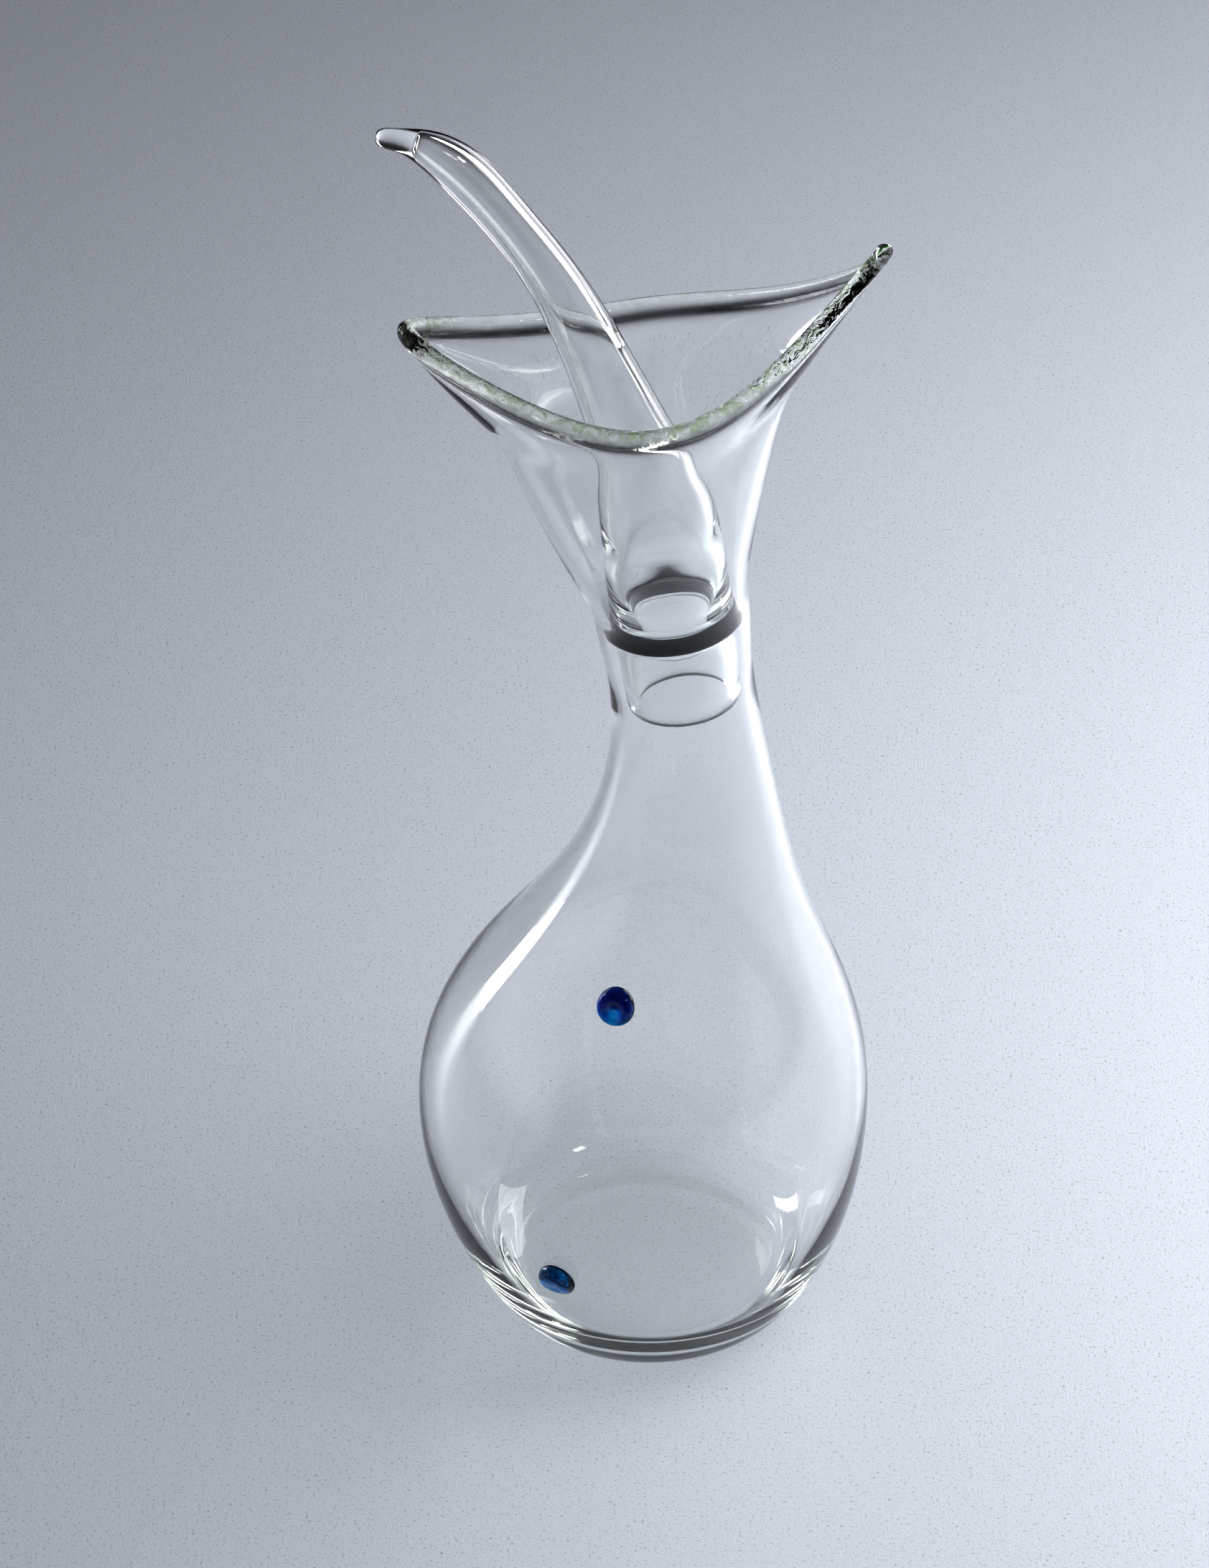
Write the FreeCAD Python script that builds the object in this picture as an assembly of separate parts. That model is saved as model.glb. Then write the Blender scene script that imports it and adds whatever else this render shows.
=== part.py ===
import FreeCAD, Part
import math
import os

# Wine decanter in hand-blown glass: a teardrop vessel with a bent neck and a saddle-shaped mouth,
# a hollow horn-shaped stopper with a rubber ring in its groove, and two glass drops fused to the
# front of the vessel. Millimetres, +Z up. The origin is the middle of the flat foot, +X is the
# side of the taller pouring tip, and -Y is the front, where the drops are.

# Vessel body
foot_radius = 34.5
body_radius = 59.7
body_height = 63.0          # height of the widest ring
base_thickness = 6.0
body_wall = 2.2

# Neck and bore
ring_height = 219.7         # middle of the rubber ring
waist_below_ring = 21.7
sway_below_ring = 56.7
neck_sway = 10.0            # how far the neck leaves the upright at its bend
bore_radius = 17.0          # inside, where the rubber ring seals
bore_wall = 2.9
bore_length = 9.0
neck_wall = 2.1
neck_draw = 0.9             # how much narrower than the bore the neck is inside, at its waist
waist_height = ring_height - waist_below_ring
sway_height = ring_height - sway_below_ring
neck_radius = bore_radius - neck_draw + neck_wall
ring_offset = 5.0           # the ring's middle stands this far to +X of the foot's middle
neck_lean = 7.0             # degrees, the bore's axis leans towards -X

# Mouth
mouth_rise = 71.0           # from the ring to the low front and back of the lip, along the bore's axis
mouth_half_length = 61.5
mouth_half_depth = 32.8
mouth_shift = 4.0           # the lip's middle lies this far to +X of the bore's axis
flare_sway = 1.4            # a third of the way up, the flare stands this far to -X of that axis
tall_tip_lift = 27.3        # the +X tip above the front and back of the lip
low_tip_lift = 19.5         # the -X tip above the front and back of the lip
tip_draw = 0.04             # how far the two tips are drawn out to points
tall_tip_pinch = 0.28       # how far the sides are drawn in beside the +X tip
low_tip_pinch = 0.10
flare_ease = 0.05           # how gently the flare leaves the bore
flare_slope = 0.61          # share of the opening that is a straight cone
curl_start = 0.66           # above this rise the lip curls outwards
lip_thickness = 5.0
flare_wall = 2.6

# Rubber ring
ring_clearance = 0.05       # radial, to the bore and to the groove
ring_thickness = 3.6
ring_width = 3.9
ring_corner = 1.5

# Stopper
plug_length = 25.9          # from the middle of the ring to the open end
plug_gap = 2.4              # between the plug and the bore
plug_wall = 3.0
shoulder_gap = 1.2          # between the shoulder and the bore
shoulder_length = 26.0
groove_gap = 0.15           # along the axis, each side of the ring
groove_round = 0.9          # length of the rounding between the groove and the glass beside it
horn_wall = 2.3
horn_reach = 71.6           # from the ring's middle to the tip, towards -X
horn_rise = 138.0           # from the ring's middle up to the tip
horn_radius = 6.1           # at the top of the hollow
beak_radius = 2.35          # the solid rounded tip
plug_radius = bore_radius - plug_gap
shoulder_radius = bore_radius - shoulder_gap

# Fused drops: how wide and how proud, and the height and direction of each round the vessel
drop_radius = 5.1
drop_height = 3.5
upper_drop_height = 121.4
upper_drop_direction = -110.6
lower_drop_height = 43.4
lower_drop_direction = -113.7

# Control points round each ring, and the fraction that a cubic ring draws in from them
points_round = 32
draw_in = (2 + math.cos(2 * math.pi / points_round)) / 3
closing_radius = 0.3
bead_draw_in = 1.06         # control rings of a rounded bead stand this much further out than its face
widest_draw_in = 1.012      # and those of the widest ring
largest_cap = 0.4           # share of a whole sphere that a drop can be
sway_peak = 27 / 4          # makes rise * (1 - rise) ** 2 reach 1 at a third of the way up

up = FreeCAD.Vector(0, 0, 1)
back = FreeCAD.Vector(0, 1, 0)
lean = math.radians(neck_lean)
axis = FreeCAD.Vector(-math.sin(lean), 0, math.cos(lean))
ring_middle = FreeCAD.Vector(ring_offset, 0, ring_height)
angles = [2 * math.pi * i / points_round for i in range(points_round)]


def clamped(count):
    """Knots and multiplicities of a clamped cubic with this many control points."""
    knots = list(range(count - 2))
    multiplicities = [4] + [1] * (count - 4) + [4]
    return knots, multiplicities


def curve_through(points):
    """A smooth curve through the points, straight where the points are."""
    curve = Part.BSplineCurve()
    curve.interpolate(points)
    return curve


def round_ring(middle, direction, radius):
    """Control points of a round ring square to the direction."""
    across = back.cross(direction).normalize()
    reach = radius / draw_in
    return [middle + across * (reach * math.cos(a)) + back * (reach * math.sin(a)) for a in angles]


def skin_solid(rings):
    """Close a stack of rings with a skin over all of them and a flat disc at each end."""
    skin = Part.BSplineSurface()
    along_knots, along_multiplicities = clamped(len(rings))
    round_knots = list(range(points_round + 1))
    skin.buildFromPolesMultsKnots(
        rings, along_multiplicities, [1] * (points_round + 1), along_knots, round_knots,
        False, True, 3, 3)
    face = skin.toShape()
    ends = [edge for edge in face.Edges if edge.isClosed() and not edge.isSeam(face)]
    discs = [Part.Face(Part.Wire([edge])) for edge in ends]
    shell = Part.makeShell([face] + discs)
    shell.sewShape()
    solid = Part.makeSolid(shell)
    if solid.Volume < 0:
        solid.reverse()
    return solid


# The vessel's middle line: upright at the foot, bent through the neck, straight along the bore

def bore_point(height):
    """The point of the bore's axis at this height."""
    return ring_middle + axis * ((height - ring_height) / axis.z)


straight_from = ring_height - bore_length * 1.5
mouth_middle = ring_middle + axis * mouth_rise
middle_line = curve_through([
    FreeCAD.Vector(0, 0, 0),
    FreeCAD.Vector(-0.1, 0, body_height * 0.2),
    FreeCAD.Vector(-1.9, 0, body_height),
    FreeCAD.Vector(neck_sway * 0.1, 0, body_height + (sway_height - body_height) * 0.4),
    FreeCAD.Vector(neck_sway * 0.66, 0, body_height + (sway_height - body_height) * 0.7),
    FreeCAD.Vector(neck_sway, 0, sway_height),
    bore_point(waist_height),
    bore_point(straight_from),
    bore_point(ring_height),
    mouth_middle,
])


def middle_at(height):
    """Middle of the vessel at a height, and the direction its rings are square to.

    Rings lie level up to the bend of the neck, and turn from there to square with the bore.
    """
    if height >= straight_from:
        return bore_point(height), axis
    if height <= 0:
        return FreeCAD.Vector(0, 0, 0), up
    low = middle_line.FirstParameter
    high = middle_line.LastParameter
    for _ in range(40):
        middle = (low + high) / 2
        if middle_line.value(middle).z < height:
            low = middle
        else:
            high = middle
    share = max(0.0, (height - sway_height) / (straight_from - sway_height))
    turned = share * share * (3 - 2 * share)
    return middle_line.value(low), (axis * turned + up * (1 - turned)).normalize()


def vessel_ring(height, radius):
    """A round ring of the vessel at a height."""
    middle, direction = middle_at(height)
    return round_ring(middle, direction, radius)


# The mouth: a circle at the bore that opens into a pointed saddle at the lip

flare_start = ring_height + bore_length / 2
flare_length = mouth_rise - bore_length / 2


def flare_point(rise, angle):
    """A point of the flare's outer face: rise is 0 at the bore and 1 at the lip."""
    bore_outside = bore_radius + bore_wall
    cone = (math.hypot(rise, flare_ease) - flare_ease) / (math.hypot(1.0, flare_ease) - flare_ease)
    curl = max(0.0, (rise - curl_start) / (1 - curl_start))
    opening = flare_slope * cone + (1 - flare_slope) * curl * curl * (3 - 2 * curl)
    half_length = bore_outside + (mouth_half_length - bore_outside) * opening
    half_depth = bore_outside + (mouth_half_depth - bore_outside) * cone
    draw = tip_draw * rise ** 2
    tall_side = (1 + math.cos(angle)) / 2
    pinch = (low_tip_pinch + (tall_tip_pinch - low_tip_pinch) * tall_side) * rise ** 2
    along = half_length * (math.cos(angle) + draw * math.cos(3 * angle)) / (1 + draw)
    aside = half_depth * (math.sin(angle) - pinch * math.sin(3 * angle)) / (1 + pinch)
    shift = mouth_shift * rise ** 5 - flare_sway * sway_peak * rise * (1 - rise) ** 2
    lift = tall_tip_lift * max(0.0, math.cos(angle)) ** 2.4 + low_tip_lift * max(0.0, -math.cos(angle)) ** 2.2
    middle, direction = middle_at(flare_start)
    across = back.cross(direction)
    height = flare_length * rise + lift * rise ** 1.5
    return middle + direction * height + across * (along + shift) + back * aside


def flare_frame(rise, angle):
    """Outward and upward directions of the flare's outer face."""
    step = 0.001
    low = max(0.0, rise - step)
    upward = (flare_point(low + step, angle) - flare_point(low, angle)).normalize()
    round_way = (flare_point(rise, angle + step) - flare_point(rise, angle - step)).normalize()
    return round_way.cross(upward).normalize(), upward


def flare_ring(rise, depth):
    """A ring at a rise, this deep under the outer face."""
    ring = []
    for angle in angles:
        outward, upward = flare_frame(rise, angle)
        ring.append(flare_point(rise, angle) - outward * depth)
    return ring


def lip_ring(turn):
    """A ring of the rounded lip: turn is -90 on the outside, 0 at the top and 90 inside."""
    half = lip_thickness / 2
    reach = half * bead_draw_in
    ring = []
    for angle in angles:
        outward, upward = flare_frame(1.0, angle)
        middle = flare_point(1.0, angle) - outward * half
        t = math.radians(turn)
        ring.append(middle - outward * (reach * math.sin(t)) + upward * (reach * math.cos(t)))
    return ring


# Radius of the vessel between its widest ring and the waist of the neck, as shares of the drop
# in radius at shares of the height between the two
shoulder_shape = [(0.14, 0.97), (0.28, 0.785), (0.41, 0.525), (0.54, 0.31), (0.68, 0.155), (0.84, 0.04)]


def make_vessel():
    """One blown wall: up the outside, over the lip, down the inside to the floor."""
    rings = []
    side = body_radius - foot_radius
    outside_low = [(0.0, 0.0), (0.0, 0.07), (0.008, 0.16), (0.07, 0.33), (0.19, 0.51), (0.38, 0.735)]
    for height_share, side_share in outside_low:
        rings.append(vessel_ring(body_height * height_share, foot_radius + side * side_share))
    rings.append(vessel_ring(body_height * 0.68, foot_radius + side * 0.955))
    rings.append(vessel_ring(body_height, body_radius * widest_draw_in))
    climb = waist_height - body_height
    for height_share, drop_share in shoulder_shape:
        radius = neck_radius + (body_radius - neck_radius) * drop_share
        rings.append(vessel_ring(body_height + climb * height_share, radius))
    rings.append(vessel_ring(waist_height, neck_radius - 0.1))
    bore_outside = bore_radius + bore_wall
    rings.append(vessel_ring((waist_height + ring_height) / 2, (neck_radius + bore_outside) / 2 - 0.2))
    rings.append(vessel_ring(ring_height, bore_outside))
    flare_steps = [0.0, 0.12, 0.25, 0.40, 0.55, 0.70, 0.82]
    for rise in flare_steps:
        rings.append(flare_ring(rise, 0.0))
    rings.append(flare_ring(0.92, 0.4))
    for turn in (-90, -45, 0, 45, 90):
        rings.append(lip_ring(turn))
    rings.append(flare_ring(0.91, flare_wall * 1.15))
    for rise in reversed(flare_steps[1:]):
        wall = flare_wall if rise > 0.2 else (flare_wall + bore_wall) / 2
        rings.append(flare_ring(rise, wall))
    for share in (0.5, 0.25, 0.0, -0.25, -0.5):
        rings.append(vessel_ring(ring_height + bore_length * share, bore_radius))
    rings.append(vessel_ring((waist_height + ring_height - bore_length) / 2, bore_radius - 0.5))
    rings.append(vessel_ring(waist_height - 6.0, neck_radius - neck_wall))
    for height_share, drop_share in reversed(shoulder_shape):
        radius = neck_radius + (body_radius - neck_radius) * drop_share
        rings.append(vessel_ring(body_height + climb * height_share, radius - body_wall))
    rings.append(vessel_ring(body_height, body_radius * widest_draw_in - body_wall))
    rings.append(vessel_ring(body_height * 0.68, foot_radius + side * 0.94 - body_wall))
    inside_low = [(0.37, 0.70, 1.3), (0.20, 0.50, 1.6)]
    for height_share, side_share, thicker in inside_low:
        radius = foot_radius + side * side_share - body_wall * thicker
        rings.append(vessel_ring(body_height * height_share, radius))
    rings.append(vessel_ring(base_thickness + 1.8, foot_radius + side * 0.10))
    rings.append(vessel_ring(base_thickness, foot_radius * 0.86))
    rings.append(vessel_ring(base_thickness, foot_radius * 0.5))
    return skin_solid(rings)


# The stopper: one tube, open at the plug, closed in the horn

ring_inner_radius = bore_radius - ring_clearance - ring_thickness
groove_radius = ring_inner_radius - ring_clearance
groove_half = ring_width / 2 + groove_gap
shoulder_top = groove_half + shoulder_length

horn_line = curve_through([
    ring_middle - axis * plug_length,
    ring_middle - axis * (plug_length / 2),
    ring_middle,
    ring_middle + axis * (shoulder_top / 2),
    ring_middle + axis * shoulder_top,
    ring_middle + FreeCAD.Vector(-horn_reach * 0.156, 0, horn_rise * 0.40),
    ring_middle + FreeCAD.Vector(-horn_reach * 0.262, 0, horn_rise * 0.545),
    ring_middle + FreeCAD.Vector(-horn_reach * 0.395, 0, horn_rise * 0.70),
    ring_middle + FreeCAD.Vector(-horn_reach * 0.62, 0, horn_rise * 0.874),
    ring_middle + FreeCAD.Vector(-horn_reach * 0.742, 0, horn_rise * 0.95),
    ring_middle + FreeCAD.Vector(-horn_reach * 0.87, 0, horn_rise * 0.988),
    ring_middle + FreeCAD.Vector(-horn_reach, 0, horn_rise),
])
horn_length = horn_line.length()


def stopper_ring(distance, radius):
    """A round ring of the stopper, square to its middle line."""
    if distance <= shoulder_top * 0.9:
        return round_ring(ring_middle + axis * distance, axis, radius)
    place = horn_line.parameterAtDistance(distance + plug_length)
    direction = FreeCAD.Vector(*horn_line.tangent(place)[0])
    return round_ring(horn_line.value(place), direction, radius)


def horn_distance(share):
    """Distance from the ring's middle at a share of the way from the shoulder to the tip."""
    return shoulder_top + (horn_length - plug_length - shoulder_top) * share


# Radius of the horn's outside at shares of its length, as shares of the drop in radius from the
# shoulder to the top of the hollow
horn_shape = [(0.0, 0.887), (0.09, 0.72), (0.145, 0.55), (0.20, 0.40), (0.27, 0.32), (0.36, 0.21),
              (0.45, 0.14), (0.56, 0.05), (0.66, -0.01), (0.75, -0.01), (0.835, 0.03)]
hollow_end = 0.93


def make_stopper():
    """Down the outside from the tip, round the open rim and up the inside of the hollow."""
    rings = []
    tip = horn_length - plug_length
    rings.append(stopper_ring(tip, closing_radius))
    rings.append(stopper_ring(tip, beak_radius * 0.8))
    rings.append(stopper_ring(tip - beak_radius * 0.9, beak_radius * 1.1))
    rings.append(stopper_ring(horn_distance(0.95), beak_radius * 1.2))
    rings.append(stopper_ring(horn_distance(0.905), horn_radius * 0.80))
    drop = shoulder_radius - horn_radius
    for share, drop_share in reversed(horn_shape):
        rings.append(stopper_ring(horn_distance(share), horn_radius + drop * drop_share))
    rings.append(stopper_ring(shoulder_top * 0.72, shoulder_radius - drop * 0.09))
    rings.append(stopper_ring(shoulder_top * 0.45, shoulder_radius - 0.2))
    rings.append(stopper_ring(groove_half + 4.2, shoulder_radius + 0.2))
    rings.append(stopper_ring(groove_half + 2.0, shoulder_radius + 0.3))
    rings.append(stopper_ring(groove_half + groove_round, shoulder_radius - 0.8))
    for distance in (groove_half + groove_round, groove_half + 0.3, 0.0):
        rings.append(stopper_ring(distance, groove_radius))
    for distance in (groove_half + 0.3, groove_half + groove_round):
        rings.append(stopper_ring(-distance, groove_radius))
    rings.append(stopper_ring(-groove_half - groove_round, plug_radius - 0.2))
    rings.append(stopper_ring(-groove_half - 3.0, plug_radius + 0.1))
    rings.append(stopper_ring(-plug_length * 0.55, plug_radius))
    rings.append(stopper_ring(-plug_length + 4.0, plug_radius - 0.1))
    rim = plug_wall / 2
    for turn in (0, 45, 90, 135, 180):
        t = math.radians(turn)
        reach = rim * bead_draw_in
        radius = plug_radius - rim + reach * math.cos(t)
        rings.append(stopper_ring(-plug_length + rim - reach * math.sin(t), radius))
    inside = plug_radius - plug_wall
    rings.append(stopper_ring(-plug_length + 4.0, inside))
    rings.append(stopper_ring(-plug_length * 0.4, inside))
    rings.append(stopper_ring(groove_half * 0.5, groove_radius - plug_wall * 0.8))
    rings.append(stopper_ring(groove_half + 5.0, shoulder_radius - plug_wall))
    rings.append(stopper_ring(shoulder_top * 0.55, shoulder_radius - plug_wall))
    rings.append(stopper_ring(shoulder_top * 0.78, shoulder_radius - drop * 0.12 - plug_wall))
    for share, drop_share in horn_shape:
        if share < hollow_end - 0.09:
            rings.append(stopper_ring(horn_distance(share), horn_radius + drop * drop_share - horn_wall))
    end = horn_distance(hollow_end)
    rings.append(stopper_ring(end - 2.5, (horn_radius - horn_wall) * 0.75))
    rings.append(stopper_ring(end, (horn_radius - horn_wall) * 0.5))
    rings.append(stopper_ring(end, closing_radius))
    return skin_solid(rings)


def make_seal_ring():
    """A rubber band with rounded outer corners, in the groove and against the bore."""
    outer = bore_radius - ring_clearance
    body = Part.makeCylinder(outer, ring_width, FreeCAD.Vector(0, 0, -ring_width / 2), up)
    body = body.cut(Part.makeCylinder(ring_inner_radius, ring_width, FreeCAD.Vector(0, 0, -ring_width / 2), up))
    rims = [e for e in body.Edges if e.isClosed() and abs(e.Curve.Radius - outer) < 0.001]
    body = body.makeFillet(min(ring_corner, ring_width * 0.45), rims)
    body.rotate(FreeCAD.Vector(0, 0, 0), FreeCAD.Vector(0, 1, 0), -neck_lean)
    body.translate(ring_middle)
    return body


def make_drop(vessel, height, direction_degrees):
    """A flattened glass drop, cut to the vessel's outer face where it is fused on.

    The sphere it is cut from is turned a little and cut again if its cut doesn't close.
    """
    middle, _ = middle_at(height)
    around = math.radians(direction_degrees)
    outward = FreeCAD.Vector(math.cos(around), math.sin(around), 0)
    sight = Part.makeLine(middle + outward * body_radius * 1.4, middle)
    hits = vessel.common(sight)
    place = max((v.Point for v in hits.Vertexes), key=lambda p: (p - middle).Length)
    outer_face = max(vessel.Faces, key=lambda f: f.Area)
    u, v = outer_face.Surface.parameter(place)
    normal = outer_face.normalAt(u, v)
    if normal.dot(outward) < 0:
        normal = normal * -1
    sphere_radius = (drop_radius ** 2 + drop_height ** 2) / (2 * drop_height)
    beside = up.cross(normal).normalize()
    upright = FreeCAD.Rotation(normal * -1, FreeCAD.Vector(), beside, "XZY")
    for turn in (0, 15, 30, 45, 60, 75, 90):
        dome = Part.makeSphere(sphere_radius)
        turned = FreeCAD.Rotation(normal, turn).multiply(upright)
        dome.Placement = FreeCAD.Placement(place - normal * (sphere_radius - drop_height), turned)
        for proud in dome.cut(vessel).Solids:
            outside = (proud.CenterOfMass - place).dot(normal) > 0
            if outside and proud.Volume < dome.Volume * largest_cap:
                return proud
    return dome.common(Part.makeCylinder(sphere_radius, drop_height, place, normal))


def save(shape, name):
    """Write one node and say what it measures."""
    box = shape.BoundBox
    print(name, "valid", shape.isValid(), "solids", len(shape.Solids), "volume", round(shape.Volume, 1),
          "box", round(box.XMin, 1), round(box.YMin, 1), round(box.ZMin, 1),
          round(box.XMax, 1), round(box.YMax, 1), round(box.ZMax, 1))
    shape.exportStep("parts/" + name + ".step")


os.makedirs("parts", exist_ok=True)
vessel = make_vessel()
save(vessel, "vessel")
save(make_stopper(), "stopper")
save(make_seal_ring(), "seal_ring")
save(make_drop(vessel, upper_drop_height, upper_drop_direction), "upper_drop")
save(make_drop(vessel, lower_drop_height, lower_drop_direction), "lower_drop")
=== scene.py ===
# %% [markdown]
# # A hand-blown wine decanter
#
# The real object is a teardrop vessel with a bent neck and a saddle-shaped mouth, a hollow
# horn-shaped stopper, a black rubber ring that seals the two, and two blue drops fused to the
# front. The CAD model gives the frame: where every piece stands and how it moves. This lesson
# rebuilds each piece as a finer mesh in the same place and gives it a finish.
# Glass shows every flaw in a mesh, because light bends at each face, so smooth quads matter
# more here than on any painted part. That is why the triangles of the CAD model are replaced.

# %% Load the frame
import math

import bmesh
import bpy
import numpy as np
from mathutils import Matrix, Vector


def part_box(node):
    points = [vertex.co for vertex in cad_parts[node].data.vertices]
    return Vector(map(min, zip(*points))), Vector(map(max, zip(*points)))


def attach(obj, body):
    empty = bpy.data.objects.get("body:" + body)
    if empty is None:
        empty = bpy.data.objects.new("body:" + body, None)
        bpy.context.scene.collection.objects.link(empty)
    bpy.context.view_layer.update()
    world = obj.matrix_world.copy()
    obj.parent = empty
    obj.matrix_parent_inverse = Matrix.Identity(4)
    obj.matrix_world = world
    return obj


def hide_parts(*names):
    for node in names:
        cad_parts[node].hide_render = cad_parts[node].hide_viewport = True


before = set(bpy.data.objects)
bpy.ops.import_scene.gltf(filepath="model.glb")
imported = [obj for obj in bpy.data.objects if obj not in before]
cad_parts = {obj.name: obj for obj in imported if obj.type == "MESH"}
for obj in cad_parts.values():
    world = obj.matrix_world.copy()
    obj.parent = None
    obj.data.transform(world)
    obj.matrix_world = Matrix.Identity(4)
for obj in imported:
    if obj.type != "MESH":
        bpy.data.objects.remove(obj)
bpy.context.view_layer.update()
print("nodes", sorted(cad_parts))

# %% [markdown]
# ## The line of the neck and of the horn
#
# Neither the neck nor the horn is straight. Each follows a smooth middle line, and every ring
# of glass is centred on it. A natural cubic spline through a few points is such a line: it
# bends as little as it can. A Bezier curve with automatic handles would be quicker to draw,
# but its curvature jumps at each point, and glass would show that as a kink.
# Sizes are in millimetres, as in the CAD model, and MM makes them metres when a mesh is made.

# %% A smooth line through points
MM = 0.001
UP = Vector((0, 0, 1))
BACK = Vector((0, 1, 0))
LINE_POINTS = 1500


def smooth_line(points):
    """Closely spaced points of the smooth line through (x, z) points, and the distance to each."""
    fixed = np.array(points, float)
    runs = np.linalg.norm(np.diff(fixed, axis=0), axis=1)
    stations = np.concatenate([[0.0], np.cumsum(runs)])
    last = len(stations) - 1
    matrix = np.eye(last + 1)
    sides = np.zeros((last + 1, 2))
    for i in range(1, last):
        matrix[i, i - 1:i + 2] = runs[i - 1], 2 * (runs[i - 1] + runs[i]), runs[i]
        sides[i] = 6 * ((fixed[i + 1] - fixed[i]) / runs[i] - (fixed[i] - fixed[i - 1]) / runs[i - 1])
    bend = np.linalg.solve(matrix, sides)
    where = np.linspace(0.0, stations[-1], LINE_POINTS)
    span = np.clip(np.searchsorted(stations, where, side="right") - 1, 0, last - 1)
    run = runs[span][:, None]
    after = (where - stations[span])[:, None] / run
    before = 1 - after
    line = fixed[span] * before + fixed[span + 1] * after
    line += run ** 2 / 6 * ((before ** 3 - before) * bend[span] + (after ** 3 - after) * bend[span + 1])
    steps = np.linalg.norm(np.diff(line, axis=0), axis=1)
    return line, np.concatenate([[0.0], np.cumsum(steps)])


print("a line through 0, 5 and 10 mm is", round(smooth_line([(0, 0), (0, 5), (0, 10)])[1][-1], 3), "mm long")

# %% The bore that holds the stopper
ring_low, ring_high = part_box("seal_ring")
ring_middle = (Vector(ring_low) + Vector(ring_high)) / 2 / MM
ring_height = ring_middle.z
lean = math.radians(7.0)
axis = Vector((-math.sin(lean), 0, math.cos(lean)))
across = BACK.cross(axis)
bore_radius = 17.0
bore_wall = 2.9
bore_outside = bore_radius + bore_wall
bore_length = 9.0
body_radius = 59.7
body_height = 63.0           # where the vessel is widest
body_wall = 2.2
foot_radius = 34.5
base_thickness = 6.0
neck_radius = 18.2
neck_wall = 2.1
waist_height = ring_height - 21.7
sway_height = ring_height - 56.7
straight_from = ring_height - bore_length * 1.5
flare_start = ring_height + bore_length / 2
mouth_rise = 71.0            # from the ring up to the low front and back of the lip


def bore_point(height):
    """The point of the bore's axis at this height."""
    return ring_middle + axis * ((height - ring_height) / axis.z)


def flat(point):
    """A point as (x, z)."""
    return point.x, point.z


bend_height = sway_height - body_height
vessel_line, _ = smooth_line([
    (0, 0), (-0.1, body_height * 0.2), (-1.9, body_height), (1.0, body_height + bend_height * 0.4),
    (6.6, body_height + bend_height * 0.7), (10.0, sway_height), flat(bore_point(waist_height)),
    flat(bore_point(straight_from)), flat(bore_point(ring_height)), flat(ring_middle + axis * mouth_rise),
])
print("ring middle", [round(value, 2) for value in ring_middle])
print("the neck sways to x =", round(max(vessel_line[:, 0]), 2))

# %% [markdown]
# ## A wall grown ring by ring
#
# A glassblower's gather starts as a small disc of hot glass and grows outwards from it. The
# mesh is made the same way: a circle of 32 corners is extruded, the new ring is set in its
# place, and so on up the outside, over the lip and down the inside, until the last ring closes
# on the floor. That gives one closed wall of quads. A Subdivision Surface modifier then smooths
# the cage into the same surface that the CAD model has, because both are cubic B-splines.
# A lathe (Spin or the Screw modifier) would be simpler, but the neck bends and the mouth is a
# saddle, so no two rings share an axis.
# Each corner also carries a number called "lip", which is 0 in the plain wall and up to 1 in
# the rounded rim, so that the finish can follow the rim. It is weaker along the back of the
# mouth, where the rim shows almost no green.

# %% Rings
SIDES = 32
DRAW_IN = (2 + math.cos(2 * math.pi / SIDES)) / 3
BACK_RIM_FROM, BACK_RIM_TO = 0.5, 2.64     # radians, 0 at the right-hand tip of the mouth
BACK_RIM_SHARE = 0.3
angles = [2 * math.pi * i / SIDES for i in range(SIDES)]


def round_ring(middle, direction, radius):
    """Corners of a cage ring that smooths to this radius, square to the direction."""
    sideways = BACK.cross(direction).normalized()
    reach = radius / DRAW_IN
    return [middle + sideways * (reach * math.cos(a)) + BACK * (reach * math.sin(a)) for a in angles]


def set_ring(piece, loop, ring, share):
    """Put the corners of one loop in their places and write how much of the lip they are."""
    mesh = bmesh.from_edit_mesh(piece.data)
    layer = mesh.verts.layers.float.get("lip") or mesh.verts.layers.float.new("lip")
    mesh.verts.ensure_lookup_table()
    for index, corner, angle in zip(loop, ring, angles):
        at_back = BACK_RIM_FROM < angle < BACK_RIM_TO
        mesh.verts[index].co = corner * MM
        mesh.verts[index][layer] = share * (BACK_RIM_SHARE if at_back else 1.0)
    bmesh.update_edit_mesh(piece.data)


print("a cage ring reaches", round(1 / DRAW_IN, 4), "times as far as the round ring it smooths to")

# %% Growing a wall
SMOOTHING = 2


def grown_loop(piece, loop):
    """The corners that an extrude has just made, in the order of the loop they grew from."""
    mesh = bmesh.from_edit_mesh(piece.data)
    mesh.verts.ensure_lookup_table()
    mesh.verts.index_update()
    grown = []
    for index in loop:
        corner = mesh.verts[index]
        others = [edge.other_vert(corner) for edge in corner.link_edges]
        grown.append(next(other.index for other in others if other.select))
    return grown


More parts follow.
